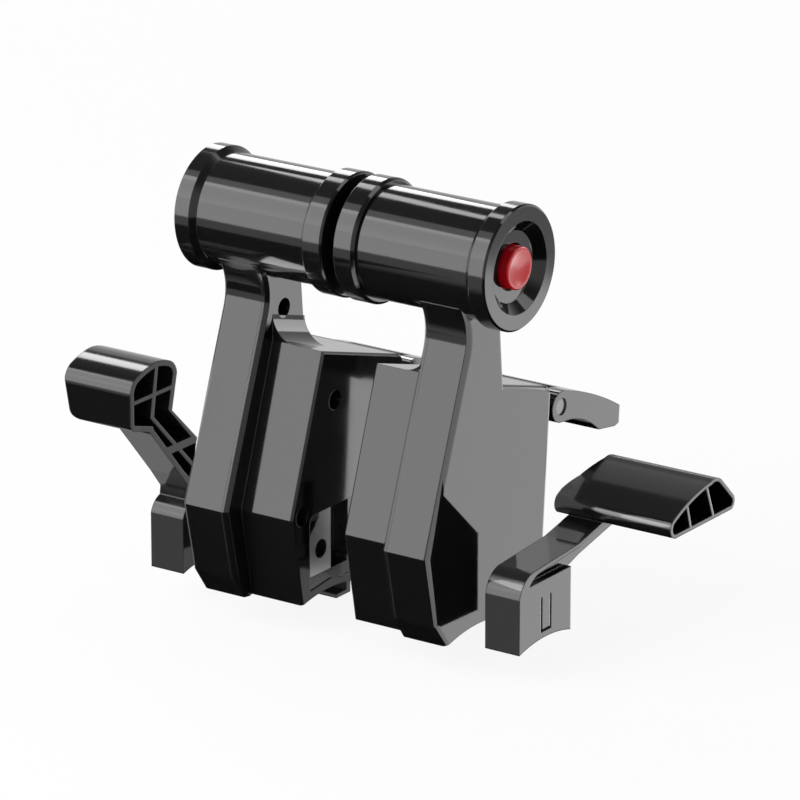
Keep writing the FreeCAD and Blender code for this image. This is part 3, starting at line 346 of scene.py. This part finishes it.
wall_glow = 0.8
ceiling_glow = 0.16
wall_ends, ceiling_begins = 0.3, 0.6
walls = air(tree, wall_glow)
toward = tree.nodes.new("ShaderNodeTexCoord")
height = tree.nodes.new("ShaderNodeSeparateXYZ")
tree.links.new(toward.outputs["Generated"], height.inputs[0])
dimming = ramp(
    tree, height.outputs["Z"], wall_ends, ceiling_begins, wall_glow, ceiling_glow, "SMOOTHSTEP"
)
tree.links.new(dimming, walls.inputs["Strength"])
mirrored = mixed(tree, seen_by(tree, {"Is Glossy Ray": 1}), air(tree, 0.35), walls)
in_sight = seen_by(tree, {"Is Camera Ray": 1, "Is Transmission Ray": 1})
room = mixed(tree, in_sight, mirrored, air(tree, 1))
tree.links.new(room.outputs[0], out.inputs["Surface"])
print("walls", wall_glow, "of white, ceiling", ceiling_glow)

# %% [markdown]
# Soft boxes stand one above another, front left, and give the broad grey bands on the grips
# and the upper fronts. A panel at the back left and a strip above it give the thin bright lines
# along the tops, and two boxes on the right light the cove, the funnels and the buttons. The
# two side levers lean at angles of their own, so the panel and the strip leave them out, and
# each has a few lamps that reach it alone.

# %% Lamps


def area_lamp(name, stands, size, back, side, brightness):
    """Rectangular lamp with its width along `side`; `back` points away from what it lights."""
    data = bpy.data.lights.new(name, "AREA")
    data.shape = "RECTANGLE"
    data.size, data.size_y = size
    data.energy = brightness * math.pi * size[0] * size[1]
    lamp = bpy.data.objects.new(name, data)
    bpy.context.scene.collection.objects.link(lamp)
    turned = Matrix((side, back.cross(side), back)).transposed()
    lamp.matrix_world = Matrix.Translation(stands) @ turned.to_4x4()
    lamp.visible_camera = False
    return lamp


def soft_box(name, stands, along, width, height, brightness):
    """Lamp that looks at the grips from `stands`, its width as near to `along` as it can be."""
    back = (Vector(stands) - Vector((0, 0, grip_height))).normalized()
    side = Vector(along)
    side = (side - side.dot(back) * back).normalized()
    return area_lamp(name, stands, (width, height), back, side, brightness)


def share(lamp, names, only=True):
    """Lets a lamp reach only the named nodes, or every node but these."""
    group = bpy.data.collections.new(lamp.name + "_reach")
    lamp.light_linking.receiver_collection = group
    for place, name in enumerate(names):
        group.objects.link(nodes[name])
        state = "INCLUDE" if only else "EXCLUDE"
        group.collection_objects[place].light_linking.link_state = state


def side_glow(name, stands, size, facing, brightness, node_name, spread=180):
    """Small lamp close to one side lever, which it alone lights."""
    back = -Vector(facing).normalized()
    side = Vector((0, 0, 1)).cross(back).normalized()
    lamp = area_lamp(name, stands, size, back, side, brightness)
    lamp.data.spread = math.radians(spread)
    share(lamp, [node_name])


brake, flaps = "speed_brake_lever", "flaps_lever"
grip_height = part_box("right_grip_cap")[1].z
for name, stands, tall, brightness in (
    ("front_box_low", (-0.46, -0.70, 0.19), 0.38, 3.5),
    ("front_box_mid", (-0.46, -0.70, 0.68), 0.58, 4.2),
    ("front_box_top", (-0.46, -0.66, 1.16), 0.34, 1.3),
):
    soft_box(name, stands, (0.83, -0.55, 0), 1.1, tall, brightness)
back_left = soft_box("back_left_panel", (-1.15, 1.0, 0.75), (1, 0.8, 0), 0.86, 0.46, 5.6)
share(back_left, [brake, flaps], only=False)
soft_box("back_left_line", (-0.6, 1.0, 0.56), (1, 0.4, 0), 0.5, 0.05, 4)
top_strip = soft_box("top_strip", (-0.68, 0.49, 1.1), (0.54, -0.84, 0), 0.42, 0.08, 5.5)
share(top_strip, [brake, flaps], only=False)
soft_box("back_right_box", (0.48, 0.95, 0.2), (1, -0.4, 0), 0.6, 0.4, 3.5)
soft_box("high_right_box", (0.77, 0.47, 0.9), (-0.5, 0.8, 0), 0.5, 0.4, 2.6)
for name, stands, tall, brightness, node_name in (
    ("brake_line", (-0.942, 0.673, 0.933), 0.25, 7.8, brake),
    ("brake_sky", (-0.942, 0.90, 0.66), 0.2, 0.6, brake),
    ("flaps_sky", (-0.6, 0.814, 0.906), 0.46, 0.42, flaps),
):
    share(soft_box(name, stands, (1, 0, 0), 0.5, tall, brightness), [node_name])
lamp_gap = 0.0003
beside = behind + lamp_gap
downward_back = (0.51, 0.75, -0.42)
side_glow("flaps_front", (beside, -0.006, 0.045), (0.034, 0.036), downward_back, 1.6, flaps, 90)
side_glow("flaps_arm", (beside, 0.029, 0.038), (0.034, 0.02), (1, 0, 0), 0.8, flaps)
side_glow("brake_rim", (-beside, -0.01, 0.05), (0.05, 0.05), (-1, 0, 0), 1.0, brake)
bpy.context.scene.view_settings.view_transform = "Standard"

# %% [markdown]
# The mouldings are black plastic from a polished mould, so they carry sharp reflections. What
# makes them look like plastic and not lacquer is small: a faint waviness where the material
# shrank over its ribs, a fine grain, and edges that the mould leaves a fraction of a millimetre
# round. A Bevel node rounds the light on those edges without touching the mesh, and the same
# node compared with the true normal finds them, and there the colour is a little lighter. The
# painted steel of the reverser brackets looks much the same, so it shares the recipe.

# %% Moulded plastic


def moulded(name, colour, rough, grain_size, grain_height, edge=0.0003, coat=0.0, wave=0.000006):
    """Dark moulded plastic; grain_size, grain_height, edge and wave are in metres."""
    made, tree, out = shader_tree(name)
    skin = tree.nodes.new("ShaderNodeBsdfPrincipled")
    skin.inputs["Coat Weight"].default_value = coat
    skin.inputs["Coat Roughness"].default_value = 0.05
    skin.inputs["Specular IOR Level"].default_value = 0.5
    place = tree.nodes.new("ShaderNodeTexCoord").outputs["Object"]
    grain = noise(tree, place, 1 / grain_size, 3)
    flow = noise(tree, place, 60, 4, 0.6)

    round_edge = tree.nodes.new("ShaderNodeBevel")
    round_edge.samples = 4
    round_edge.inputs["Radius"].default_value = edge
    facing = tree.nodes.new("ShaderNodeNewGeometry")
    turn = tree.nodes.new("ShaderNodeVectorMath")
    turn.operation = "DOT_PRODUCT"
    tree.links.new(round_edge.outputs["Normal"], turn.inputs[0])
    tree.links.new(facing.outputs["Normal"], turn.inputs[1])
    # Edges, where the Bevel normal turns away from the true normal, get a lighter colour.
    hardly_turned, well_turned = 0.96, 0.8
    edge_share = ramp(tree, turn.outputs["Value"], hardly_turned, well_turned)

    tint = blended(tree, flow, shade(colour, 0.85), shade(colour, 1.15))
    edge_lightened = blended(tree, edge_share, tint, shade(colour, 2.2, 0.01))
    tree.links.new(edge_lightened, skin.inputs["Base Color"])
    gloss = ramp(tree, flow, 0.3, 0.7, rough * 0.75, rough * 1.25)
    tree.links.new(gloss, skin.inputs["Roughness"])

    waves = bumped(tree, flow, wave, over=round_edge.outputs["Normal"])
    relief = bumped(tree, grain, grain_height, 0.5, over=waves)
    tree.links.new(relief, skin.inputs["Normal"])
    tree.links.new(waves, skin.inputs["Coat Normal"])
    tree.links.new(skin.outputs["BSDF"], out.inputs["Surface"])
    return made


black = (0.005, 0.005, 0.0053)
housing = moulded("housing_plastic", black, 0.09, 0.00035, 0.000003)
lever = moulded("lever_plastic", black, 0.09, 0.00035, 0.000003, edge=0.0006)
paddle = moulded("paddle_plastic", black, 0.09, 0.00035, 0.000003, edge=0.0005)
carrier = moulded("carrier_plastic", (0.03, 0.03, 0.031), 0.3, 0.0005, 0.00001, coat=0.3)
red = moulded("button_red", (0.6, 0.004, 0.012), 0.2, 0.0004, 0.000003, edge=0.0004)
switch_case = moulded("switch_plastic", (0.02, 0.02, 0.022), 0.25, 0.0004, 0.000005, coat=0.3)
sheath = moulded("lead_sheath", (0.02, 0.02, 0.02), 0.5, 0.0005, 0.000008)
blacked = moulded("bracket_steel", (0.02, 0.02, 0.021), 0.3, 0.0005, 0.00001, coat=0.1)
plastics = (housing, lever, paddle, carrier, red, switch_case, sheath, blacked)
print("moulded:", ", ".join(made.name for made in plastics))

# %% [markdown]
# The steel pieces are drawn wire, rolled strip and black-oxide screws. All three show fine
# lines in the direction the metal was pulled, so one noise stretched along X serves them.

# %% Steel


def steel(name, colour, rough, line_size):
    """Cold-drawn or rolled steel with fine lines along X, about line_size metres apart."""
    made, tree, out = shader_tree(name)
    skin = tree.nodes.new("ShaderNodeBsdfPrincipled")
    skin.inputs["Metallic"].default_value = 1
    place = tree.nodes.new("ShaderNodeTexCoord")
    stretch = tree.nodes.new("ShaderNodeMapping")
    stretch.inputs["Scale"].default_value = (0.06, 1, 1)
    tree.links.new(place.outputs["Object"], stretch.inputs["Vector"])
    lines = noise(tree, stretch.outputs["Vector"], 1 / line_size, 4)
    tint = blended(tree, lines, shade(colour, 0.8), shade(colour, 1.15))
    tree.links.new(tint, skin.inputs["Base Color"])
    gloss = ramp(tree, lines, 0, 1, rough - 0.06, rough + 0.06)
    tree.links.new(gloss, skin.inputs["Roughness"])
    tree.links.new(bumped(tree, lines, 0.000003), skin.inputs["Normal"])
    tree.links.new(skin.outputs["BSDF"], out.inputs["Surface"])
    return made


oxide = steel("screw_steel", (0.12, 0.12, 0.125), 0.3, 0.0002)
wire = steel("spring_steel", (0.55, 0.55, 0.56), 0.25, 0.00015)
clip_strip = steel("clip_steel", (0.5, 0.5, 0.51), 0.3, 0.0002)
print("steels:", ", ".join(made.name for made in (oxide, wire, clip_strip)))

# %% [markdown]
# The contact board is green lacquered laminate. Its copper tracks show through the lacquer as
# slightly raised, lighter lines, and a brick pattern with thin joints gives such a grid.

# %% Lacquered board


def laminate(name):
    """Green board whose tracks stand a hair above the surface."""
    made, tree, out = shader_tree(name)
    skin = tree.nodes.new("ShaderNodeBsdfPrincipled")
    skin.inputs["Coat Weight"].default_value = 0.6
    place = tree.nodes.new("ShaderNodeTexCoord").outputs["Object"]
    tracks = tree.nodes.new("ShaderNodeTexBrick")
    tracks.inputs["Scale"].default_value = 1
    tracks.inputs["Mortar Size"].default_value = 0.00025
    tracks.inputs["Brick Width"].default_value = 0.0045
    tracks.inputs["Row Height"].default_value = 0.0016
    tracks.inputs["Color1"].default_value = (0.01, 0.11, 0.04, 1)
    tracks.inputs["Color2"].default_value = (0.012, 0.13, 0.05, 1)
    tracks.inputs["Mortar"].default_value = (0.05, 0.3, 0.12, 1)
    tree.links.new(place, tracks.inputs["Vector"])
    tree.links.new(tracks.outputs["Color"], skin.inputs["Base Color"])
    gloss = ramp(tree, noise(tree, place, 900, 2), 0, 1, 0.2, 0.4)
    tree.links.new(gloss, skin.inputs["Roughness"])
    tree.links.new(bumped(tree, tracks.outputs["Fac"], 0.00003), skin.inputs["Normal"])
    tree.links.new(skin.outputs["BSDF"], out.inputs["Surface"])
    return made


board = laminate("board_laminate")
print("board:", board.name)

# %% [markdown]
# Each piece of the engineering model gets the finish of its kind. The two thrust levers are
# made of the same pieces, so a piece's name without its side says what it is.

# %% Finishes on the pieces
finishes = {
    "outer_shell": housing,
    "inner_shell": housing,
    "grip_bezel": housing,
    "grip_cap": housing,
    "reverser_paddle": paddle,
    "button": red,
    "button_spring": wire,
    "button_switch": switch_case,
    "switch_cup": carrier,
    "shell_screws": oxide,
    "reverser_bracket": blacked,
    "reverser_pin": oxide,
    "reverser_spring": wire,
    "stub_carrier": carrier,
    "stub_clip": clip_strip,
    "contact_board": board,
    "button_lead": sheath,
    "speed_brake_lever": lever,
    "flaps_lever": lever,
}
for name, thing in nodes.items():
    kind = name.removeprefix("left_").removeprefix("right_")
    thing.data.materials.clear()
    thing.data.materials.append(finishes[kind])
print("finishes set on", len(nodes), "nodes")

# %% [markdown]
# Screws and springs repeat, so each comes from a small tree of geometry nodes that is set up
# once and fed with sizes. This class keeps the trees short to write: it adds nodes with their
# inputs by name, and at the end it turns a tree's result into one plain mesh.

# %% Node tree helpers


class Tree:
    """Geometry node tree with named inputs and one geometry output."""

    def __init__(self, name, inputs):
        self.tree = bpy.data.node_groups.new(name, "GeometryNodeTree")
        face = self.tree.interface
        face.new_socket("Geometry", in_out="INPUT", socket_type="NodeSocketGeometry")
        for label, kind in inputs.items():
            face.new_socket(label, in_out="INPUT", socket_type="NodeSocket" + kind)
        face.new_socket("Geometry", in_out="OUTPUT", socket_type="NodeSocketGeometry")
        self.given = self.tree.nodes.new("NodeGroupInput").outputs
        self.result = self.tree.nodes.new("NodeGroupOutput").inputs[0]

    def add(self, kind, settings=None, **inputs):
        """Adds a node. Each input, by its name or as _ and its number, is a constant, the socket
        that feeds it, or a list of such sockets."""
        node = self.tree.nodes.new(kind)
        for key, value in (settings or {}).items():
            setattr(node, key, value)
        for key, value in inputs.items():
            numbered = key[1:].isdigit()
            socket = node.inputs[int(key[1:]) if numbered else key.replace("_", " ")]
            for feed in value if isinstance(value, list) else [value]:
                if isinstance(feed, bpy.types.NodeSocket):
                    self.tree.links.new(feed, socket)
                else:
                    socket.default_value = feed
        return node.outputs[0]

    def calc(self, kind, a, b, c=0.0):
        """Adds a Math node."""
        return self.add("ShaderNodeMath", {"operation": kind}, _0=a, _1=b, _2=c)

    def vector(self, x, y, z):
        """Adds a vector made of three numbers."""
        return self.add("ShaderNodeCombineXYZ", X=x, Y=y, Z=z)

    def raised(self, geometry, height):
        """Moves geometry up by a height."""
        lift = self.vector(0.0, 0.0, height)
        return self.add("GeometryNodeTransform", Geometry=geometry, Translation=lift)

    def finish(self, geometry, material):
        """Ends the tree in real geometry with its material on."""
        real = self.add("GeometryNodeRealizeInstances", Geometry=geometry)
        flat = self.add("GeometryNodeSetShadeSmooth", Geometry=real, Shade_Smooth=False)
        done = self.add("GeometryNodeSetMaterial", Geometry=flat, Material=material)
        self.tree.links.new(done, self.result)
        return self.tree

    def grow(self, name, values, points=()):
        """Runs the tree once, on points of x, y, z and whether the piece there is short, and
        gives back its result as one plain mesh object."""
        seed_mesh = bpy.data.meshes.new(name + "_points")
        seed_mesh.from_pydata([point[:3] for point in points], [], [])
        if points:
            short = seed_mesh.attributes.new("short", "BOOLEAN", "POINT")
            for row, point in enumerate(points):
                short.data[row].value = point[3]
        source = bpy.data.objects.new(name + "_source", seed_mesh)
        bpy.context.scene.collection.objects.link(source)
        run = source.modifiers.new("grow", "NODES")
        run.node_group = self.tree
        for item in self.tree.interface.items_tree:
            if item.in_out == "INPUT" and item.name in values:
                run[item.identifier] = values[item.name]
        source.update_tag()
        graph = bpy.context.evaluated_depsgraph_get()
        mesh = bpy.data.meshes.new_from_object(source.evaluated_get(graph))
        source.modifiers.remove(run)
        bpy.data.objects.remove(source)
        mesh.name = name
        made = bpy.data.objects.new(name, mesh)
        bpy.context.scene.collection.objects.link(made)
        return made


print("Tree class ready for the screws and the springs")

# %% [markdown]
# A screw is a domed head with a cross recess, a plain core that ends in a blunt cone, and a
# rolled thread: a diamond section swept along a helix on the core. It is laid on points read
# from the engineering model.

# %% Cross-head screw
core_of_crest = 0.78
rim_of_head = 0.5
recess_length, recess_width = 1.15, 0.24
point_of_crest = 0.9
tip_of_core = 0.45
ridge_of_pitch = 0.3


def screw_head(tree, radius, height):
    """Short cylinder under a flat dome, with a cross cut half its height deep."""
    rim = tree.calc("MULTIPLY", height, rim_of_head)
    plate = tree.add("GeometryNodeMeshCylinder", Vertices=40, Radius=radius, Depth=rim)
    plate = tree.raised(plate, tree.calc("MULTIPLY", height, 1 - rim_of_head / 2))
    dome = tree.add("GeometryNodeMeshUVSphere", Segments=40, Rings=24, Radius=1.0)
    reach = tree.vector(radius, radius, rim)
    middle = tree.vector(0.0, 0.0, rim)
    dome = tree.add("GeometryNodeTransform", Geometry=dome, Translation=middle, Scale=reach)
    whole = {"operation": "UNION", "solver": "EXACT"}
    head = tree.add("GeometryNodeMeshBoolean", whole, Mesh_2=[plate, dome])
    long_way = tree.calc("MULTIPLY", radius, recess_length)
    narrow_way = tree.calc("MULTIPLY", radius, recess_width)
    blade = tree.add("GeometryNodeMeshCube", Size=tree.vector(long_way, narrow_way, height))
    crossed = tree.add("GeometryNodeTransform", Geometry=blade, Rotation=(0, 0, math.pi / 2))
    taken = {"operation": "DIFFERENCE", "solver": "EXACT"}
    return tree.add("GeometryNodeMeshBoolean", taken, Mesh_1=head, Mesh_2=[blade, crossed])


def screw_thread(tree, core, crest, base, length, pitch):
    """Diamond ridge that winds up the core for a length, from a base height."""
    turns = tree.calc("DIVIDE", length, pitch)
    helix = tree.add(
        "GeometryNodeCurveSpiral",
        Resolution=20,
        Rotations=turns,
        Start_Radius=core,
        End_Radius=core,
        Height=length,
    )
    helix = tree.raised(helix, base)
    helix = tree.add("GeometryNodeSetCurveNormal", {"mode": "Z_UP"}, Curve=helix)
    rise = tree.calc("SUBTRACT", crest, core)
    diamond = tree.vector(rise, tree.calc("MULTIPLY", pitch, ridge_of_pitch), 1.0)
    section = tree.add("GeometryNodeCurvePrimitiveCircle", Resolution=4, Radius=1.0)
    section = tree.add("GeometryNodeTransform", Geometry=section, Scale=diamond)
    return tree.add(
        "GeometryNodeCurveToMesh", Curve=helix, Profile_Curve=section, Fill_Caps=True
    )


def one_screw(tree, length):
    """Screw along Z with the top of its head at 0; returns its geometry."""
    height = tree.given["Head Height"]
    crest = tree.given["Crest Radius"]
    core = tree.calc("MULTIPLY", crest, core_of_crest)
    head = screw_head(tree, tree.given["Head Radius"], height)
    point = tree.calc("MULTIPLY", crest, point_of_crest)
    straight = tree.calc("SUBTRACT", tree.calc("SUBTRACT", length, height), point)
    rod = tree.add("GeometryNodeMeshCylinder", Vertices=32, Radius=core, Depth=straight)
    rod = tree.raised(rod, tree.calc("MULTIPLY_ADD", straight, 0.5, height))
    tip = tree.add(
        "GeometryNodeMeshCone",
        Vertices=32,
        Radius_Top=tree.calc("MULTIPLY", core, tip_of_core),
        Radius_Bottom=core,
        Depth=point,
    )
    tip = tree.raised(tip, tree.calc("ADD", height, straight))
    thread = screw_thread(tree, core, crest, height, straight, tree.given["Pitch"])
    return tree.add("GeometryNodeJoinGeometry", Geometry=[head, rod, tip, thread])


screw_sizes = ("Long", "Short", "Head Radius", "Head Height", "Crest Radius", "Pitch")
screws = Tree(
    "cross_head_screws", {**{size: "Float" for size in screw_sizes}, "Lay Over": "Rotation"}
)
is_short = screws.add("GeometryNodeInputNamedAttribute", {"data_type": "BOOLEAN"}, Name="short")
is_long = screws.add("FunctionNodeBooleanMath", {"operation": "NOT"}, _0=is_short)
laid = []
for chosen, size in ((is_long, "Long"), (is_short, "Short")):
    on_points = screws.add(
        "GeometryNodeInstanceOnPoints",
        Points=screws.given["Geometry"],
        Selection=chosen,
        Instance=one_screw(screws, screws.given[size]),
        Rotation=screws.given["Lay Over"],
    )
    laid.append(on_points)
screws.finish(screws.add("GeometryNodeJoinGeometry", Geometry=laid), oxide)
print("screw tree:", len(screws.tree.nodes), "nodes")

# %% [markdown]
# The engineering model's screws say where the screws go. A copy of that mesh is split into its
# separate solids, and each gives one place and one length. They are taken from the lowest up,
# so that the head's size is read from the same one on every run. The heads face inward, to +X
# on the left lever and to -X on the right one. The tree's result becomes one plain mesh for
# each lever.

# %% Lay the screws


def separate_solids(mesh):
    """Low and high corner of each solid in a mesh, from the lowest solid up."""
    work = bmesh.new()
    work.from_mesh(mesh)
    bmesh.ops.remove_doubles(work, verts=work.verts, dist=0.000001)
    waiting = set(work.verts)
    found = []
    while waiting:
        to_visit = [waiting.pop()]
        solid = list(to_visit)
        while to_visit:
            vert = to_visit.pop()
            for edge in vert.link_edges:
                other = edge.other_vert(vert)
                if other in waiting:
                    waiting.remove(other)
                    to_visit.append(other)
                    solid.append(other)
        found.append([[pick(v.co[i] for v in solid) for i in range(3)] for pick in (min, max)])
    work.free()
    return sorted(found, key=lambda corners: corners[0][2])


head_height = 0.0015
thread_radius = 0.0015
thread_pitch = 0.0011
for side, inward in (("left", 1), ("right", -1)):
    node_name = side + "_shell_screws"
    solids = separate_solids(nodes[node_name].data)
    lengths = [high[0] - low[0] for low, high in solids]
    middle = (max(lengths) + min(lengths)) / 2
    points = []
    for (low, high), length in zip(solids, lengths):
        head_x = high[0] if inward > 0 else low[0]
        y, z = (low[1] + high[1]) / 2, (low[2] + high[2]) / 2
        points.append((head_x, y, z, length < middle))
    low, high = solids[0]
    values = {
        "Long": max(lengths),
        "Short": min(lengths),
        "Head Radius": (high[2] - low[2]) / 2,
        "Head Height": head_height,
        "Crest Radius": thread_radius,
        "Pitch": thread_pitch,
        "Lay Over": (0, -inward * math.pi / 2, 0),
    }
    set_of_screws = screws.grow(side + "_screws", values, points)
    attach(set_of_screws, side + "_throttle")
    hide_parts(node_name)
    print(node_name, len(points), "screws,", len(set_of_screws.data.polygons), "faces")

# %% [markdown]
# The paddles' return springs are wound on a helix whose pitch closes up to the wire's own
# thickness at both ends, as a ground compression spring's does.

# %% Return springs
springs = Tree(
    "closed_end_spring",
    {
        "Mean Radius": "Float",
        "Wire": "Float",
        "Turns": "Float",
        "Length": "Float",
        "Start": "Vector",
    },
)
points_on_wire = 240
opens_at, closes_at = 0.2, 0.8
radius = springs.given["Mean Radius"]
thick = springs.given["Wire"]
turns = springs.given["Turns"]
along = springs.add("GeometryNodeSplineParameter")
line = springs.add("GeometryNodeCurvePrimitiveLine", End=(0, 0, 1))
line = springs.add("GeometryNodeResampleCurve", Curve=line, Count=points_on_wire)
angle = springs.calc("MULTIPLY", springs.calc("MULTIPLY", along, turns), math.tau)
closed = springs.calc("MULTIPLY", thick, turns)
opening = springs.calc("SUBTRACT", springs.given["Length"], closed)
spread = springs.add("ShaderNodeMapRange", _0=along, _1=opens_at, _2=closes_at)
climb = springs.calc("MULTIPLY_ADD", along, closed, springs.calc("MULTIPLY", spread, opening))
across = springs.calc("MULTIPLY", springs.calc("COSINE", angle, 0.0), radius)
up = springs.calc("MULTIPLY", springs.calc("SINE", angle, 0.0), radius)
wound = springs.vector(climb, across, up)
coil = springs.add("GeometryNodeSetPosition", Geometry=line, Position=wound)
half = springs.calc("MULTIPLY", thick, 0.5)
section = springs.add("GeometryNodeCurvePrimitiveCircle", Resolution=12, Radius=half)
coil = springs.add("GeometryNodeCurveToMesh", Curve=coil, Profile_Curve=section, Fill_Caps=True)
start = springs.given["Start"]
coil = springs.add("GeometryNodeTransform", Geometry=coil, Translation=start)
springs.finish(coil, wire)
print("spring tree:", len(springs.tree.nodes), "nodes")

wire_size = 0.0008
wire_turns = 5.0
for side in ("left", "right"):
    node_name = side + "_reverser_spring"
    low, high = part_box(node_name)
    middle = (low + high) / 2
    values = {
        "Mean Radius": (high.y - low.y - wire_size) / 2,
        "Wire": wire_size,
        "Turns": wire_turns,
        "Length": high.x - low.x - wire_size,
        "Start": (low.x + wire_size / 2, middle.y, middle.z),
    }
    spring = springs.grow(side + "_return_spring", values)
    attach(spring, side + "_throttle")
    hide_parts(node_name)
    print(node_name, "wound,", len(spring.data.polygons), "faces")
